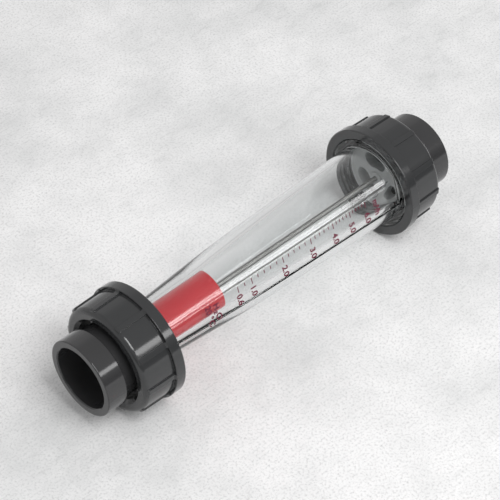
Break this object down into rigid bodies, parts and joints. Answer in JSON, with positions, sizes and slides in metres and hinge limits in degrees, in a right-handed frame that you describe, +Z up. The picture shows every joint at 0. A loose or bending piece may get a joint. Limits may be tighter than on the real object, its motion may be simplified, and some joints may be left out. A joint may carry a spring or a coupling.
{
  "type": "rotameter",
  "caption": "Plastic tube rotameter: clear tapered measuring tube with a float on a guide rod, union nuts and pipe sockets at both ends.",
  "frame": {"origin": "centre of the inlet pipe socket's mouth, on the tube's axis", "axes": "+X along the tube's axis with the flow, from the inlet to the outlet; +Z up, with the meter lying on its two union nuts as in the picture and the scale pad facing -Y and a little up"},
  "size_m": [0.343, 0.09, 0.09],
  "materials": {
    "clear_acrylic": "clear moulded plastic, polished",
    "dark_pvc": "smooth turned and moulded dark grey PVC",
    "dark_abs": "moulded dark grey ABS, satin gloss",
    "seal_rubber": "moulded black rubber",
    "grey_polypropylene": "moulded light grey polypropylene",
    "rod_steel": "drawn and polished stainless steel",
    "weight_steel": "turned steel",
    "red_abs": "moulded red ABS"
  },
  "bodies": {
    "meter": {"measuring_tube": "clear_acrylic", "inlet_tail": "dark_pvc", "outlet_tail": "dark_pvc", "inlet_seal": "seal_rubber", "outlet_seal": "seal_rubber", "inlet_stop": "grey_polypropylene", "outlet_stop": "grey_polypropylene", "guide_rod": "rod_steel", "rest_bush": "grey_polypropylene"},
    "float": {"float_shell": "red_abs", "float_weight": "weight_steel", "float_plug": "red_abs"},
    "nut_in": {"inlet_nut": "dark_abs"},
    "nut_out": {"outlet_nut": "dark_abs"}
  },
  "joints": [
    {"name": "float_slide", "type": "slide", "parent": "meter", "child": "float", "axis": [1, 0, 0], "range_m": [0, 0.1714]},
    {"name": "inlet_nut_turn", "type": "hinge", "parent": "meter", "child": "nut_in", "pos_m": [0.04, 0, 0], "axis": [1, 0, 0], "continuous": true},
    {"name": "outlet_nut_turn", "type": "hinge", "parent": "meter", "child": "nut_out", "pos_m": [0.303, 0, 0], "axis": [1, 0, 0], "continuous": true}
  ]
}
